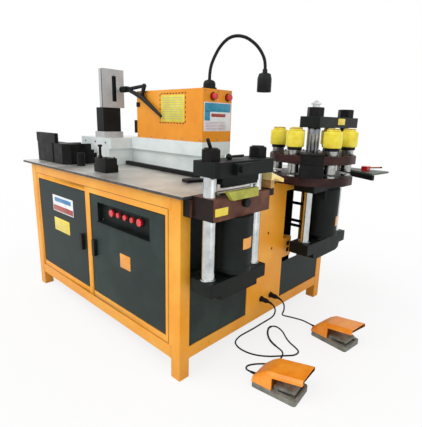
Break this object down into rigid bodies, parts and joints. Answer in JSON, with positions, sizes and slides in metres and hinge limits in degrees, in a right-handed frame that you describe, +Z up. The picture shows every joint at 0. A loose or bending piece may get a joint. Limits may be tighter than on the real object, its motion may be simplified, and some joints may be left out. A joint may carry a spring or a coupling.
{
  "type": "busbar processing machine",
  "caption": "Cabinet-mounted hydraulic busbar machine with a bending head, a two-column shear, a rotating turret punch, a gooseneck lamp and two foot switches on cables.",
  "frame": {"origin": "on the floor, at the centre of the four anchor holes in the leg ends", "axes": "+X towards the side that carries the shear and the turret, -Y towards the side with the doors, +Z up"},
  "size_m": [2.0551, 1.317, 1.5964],
  "materials": {
    "frame_paint": "semi-gloss amber paint",
    "table_steel": "ground steel, lightly marked",
    "cover_paint": "textured dark green-black paint",
    "latch_metal": "black latch handle",
    "panel_paint": "dark recess",
    "button_red": "moulded red",
    "housing_white": "white enamel",
    "die_black": "blacked tool steel",
    "ram_steel": "ground steel",
    "grey_paint": "light grey paint",
    "black_plastic": "black",
    "box_orange": "semi-gloss orange paint",
    "lamp_black": "satin black",
    "platform_brown": "dark maroon-brown paint",
    "press_dark": "dark green-black paint",
    "rod_chrome": "hard chromed rods",
    "guard_lime": "lime green paint",
    "turret_brown": "dark maroon paint",
    "tool_steel": "ground tool steel",
    "elastomer_yellow": "yellow polyurethane",
    "pedal_metal": "cast grey metal",
    "hood_orange": "bright orange paint",
    "cable_black": "black cable sheath"
  },
  "bodies": {
    "machine": {"frame": "frame_paint", "side_column": "frame_paint", "table_plate": "table_steel", "side_covers": "cover_paint", "bend_housing": "housing_white", "die_frame": "die_black", "roller_base": "die_black", "gauge_block": "black_plastic", "gauge_housing": "grey_paint", "control_box": "box_orange", "box_fittings": "black_plastic", "lamp_neck": "lamp_black", "lamp_head": "lamp_black", "shear_platform": "platform_brown", "shear_cylinder": "press_dark", "shear_guard": "guard_lime", "punch_platform": "press_dark", "punch_cylinder": "press_dark", "side_table": "table_steel", "oil_tank": "cover_paint", "power_pack": "grey_paint", "hydraulic_pipes": "ram_steel", "cable_sockets": "black_plastic", "foot_bases": "pedal_metal", "foot_hoods": "hood_orange", "cable_near": "cable_black", "cable_far": "cable_black"},
    "door_left": {"door_left": "cover_paint"},
    "latch_left": {"latch_left": "latch_metal"},
    "door_right": {"door_right": "cover_paint", "control_panel": "panel_paint"},
    "latch_right": {"latch_right": "latch_metal"},
    "panel_button_1": {"panel_button_1": "button_red"},
    "panel_button_2": {"panel_button_2": "button_red"},
    "panel_button_3": {"panel_button_3": "button_red"},
    "panel_button_4": {"panel_button_4": "button_red"},
    "panel_button_5": {"panel_button_5": "button_red"},
    "box_button_near": {"box_button_near": "button_red"},
    "box_button_far": {"box_button_far": "button_red"},
    "bend_ram": {"bend_ram": "ram_steel"},
    "guide_roller": {"guide_roller": "die_black"},
    "gauge_lever": {"gauge_lever": "lamp_black"},
    "shear_knob": {"shear_knob": "black_plastic"},
    "shear_press": {"shear_yokes": "press_dark", "shear_rods": "rod_chrome", "shear_nuts": "die_black"},
    "punch_press": {"punch_yokes": "press_dark", "punch_rods": "rod_chrome", "punch_nuts": "die_black"},
    "turret": {"turret_plates": "turret_brown", "turret_hub": "die_black", "punch_guides": "tool_steel", "punches": "tool_steel", "elastomers": "elastomer_yellow", "dies": "tool_steel", "active_elastomer": "elastomer_yellow"},
    "active_punch": {"active_punch": "tool_steel"},
    "pedal_near": {"pedal_near": "pedal_metal"},
    "pedal_far": {"pedal_far": "pedal_metal"},
    "table_stop": {"table_stop": "button_red"}
  },
  "joints": [
    {"name": "door_left_hinge", "type": "hinge", "parent": "machine", "child": "door_left", "pos_m": [-0.642, -0.632, 0.48], "axis": [0, 0, -1], "range_deg": [0, 110]},
    {"name": "latch_left_turn", "type": "hinge", "parent": "door_left", "child": "latch_left", "pos_m": [-0.083, -0.638, 0.467], "axis": [0, 1, 0], "range_deg": [0, 90]},
    {"name": "door_right_hinge", "type": "hinge", "parent": "machine", "child": "door_right", "pos_m": [0.642, -0.632, 0.48], "axis": [0, 0, 1], "range_deg": [0, 110]},
    {"name": "latch_right_turn", "type": "hinge", "parent": "door_right", "child": "latch_right", "pos_m": [0.055, -0.638, 0.467], "axis": [0, 1, 0], "range_deg": [0, 90]},
    {"name": "panel_button_1_press", "type": "slide", "parent": "door_right", "child": "panel_button_1", "axis": [0, 1, 0], "range_m": [0, 0.004], "stiffness_N_per_m": 400, "springref_m": -0.002},
    {"name": "panel_button_2_press", "type": "slide", "parent": "door_right", "child": "panel_button_2", "axis": [0, 1, 0], "range_m": [0, 0.004], "stiffness_N_per_m": 400, "springref_m": -0.002},
    {"name": "panel_button_3_press", "type": "slide", "parent": "door_right", "child": "panel_button_3", "axis": [0, 1, 0], "range_m": [0, 0.004], "stiffness_N_per_m": 400, "springref_m": -0.002},
    {"name": "panel_button_4_press", "type": "slide", "parent": "door_right", "child": "panel_button_4", "axis": [0, 1, 0], "range_m": [0, 0.004], "stiffness_N_per_m": 400, "springref_m": -0.002},
    {"name": "panel_button_5_press", "type": "slide", "parent": "door_right", "child": "panel_button_5", "axis": [0, 1, 0], "range_m": [0, 0.004], "stiffness_N_per_m": 400, "springref_m": -0.002},
    {"name": "box_button_near_press", "type": "slide", "parent": "machine", "child": "box_button_near", "axis": [-1, 0, 0], "range_m": [0, 0.005], "stiffness_N_per_m": 400, "springref_m": -0.002},
    {"name": "box_button_far_press", "type": "slide", "parent": "machine", "child": "box_button_far", "axis": [-1, 0, 0], "range_m": [0, 0.005], "stiffness_N_per_m": 400, "springref_m": -0.002},
    {"name": "bend_ram_slide", "type": "slide", "parent": "machine", "child": "bend_ram", "axis": [0, -1, 0], "range_m": [0, 0.14]},
    {"name": "guide_roller_spin", "type": "hinge", "parent": "machine", "child": "guide_roller", "pos_m": [-0.03, -0.538, 0.98], "axis": [0, 0, 1], "continuous": true},
    {"name": "gauge_lever_pivot", "type": "hinge", "parent": "machine", "child": "gauge_lever", "pos_m": [-0.226, -0.219, 1.334], "axis": [0, 1, 0], "range_deg": [-25, 20]},
    {"name": "shear_knob_turn", "type": "hinge", "parent": "machine", "child": "shear_knob", "pos_m": [0.905, -0.425, 0.836], "axis": [1, 0, 0], "continuous": true},
    {"name": "shear_stroke", "type": "slide", "parent": "machine", "child": "shear_press", "axis": [0, 0, -1], "range_m": [0, 0.03]},
    {"name": "punch_stroke", "type": "slide", "parent": "machine", "child": "punch_press", "axis": [0, 0, -1], "range_m": [0, 0.015]},
    {"name": "turret_index", "type": "hinge", "parent": "machine", "child": "turret", "pos_m": [0.85, 0.2, 0.93], "axis": [0, 0, 1], "range_deg": [-30, 330]},
    {"name": "active_punch_stroke", "type": "slide", "parent": "turret", "child": "active_punch", "axis": [0, 0, -1], "range_m": [0, 0.015], "stiffness_N_per_m": 2000, "springref_m": -0.02, "deforming": ["active_elastomer"]},
    {"name": "pedal_near_press", "type": "hinge", "parent": "machine", "child": "pedal_near", "pos_m": [1.09835, -0.34422, 0.0325], "axis": [-0.1219, 0.9925, 0], "range_deg": [0, 9], "stiffness_Nm_per_rad": 6, "springref_deg": -5.73},
    {"name": "pedal_far_press", "type": "hinge", "parent": "machine", "child": "pedal_far", "pos_m": [1.09136, 0.20528, 0.0325], "axis": [0.1132, 0.9936, 0], "range_deg": [0, 9], "stiffness_Nm_per_rad": 6, "springref_deg": -5.73},
    {"name": "table_stop_slide", "type": "slide", "parent": "machine", "child": "table_stop", "axis": [1, 0, 0], "range_m": [-0.045, 0.045]}
  ],
  "couplings": [
    {"joint": "active_punch_stroke", "follows": "punch_stroke", "ratio": 1}
  ]
}
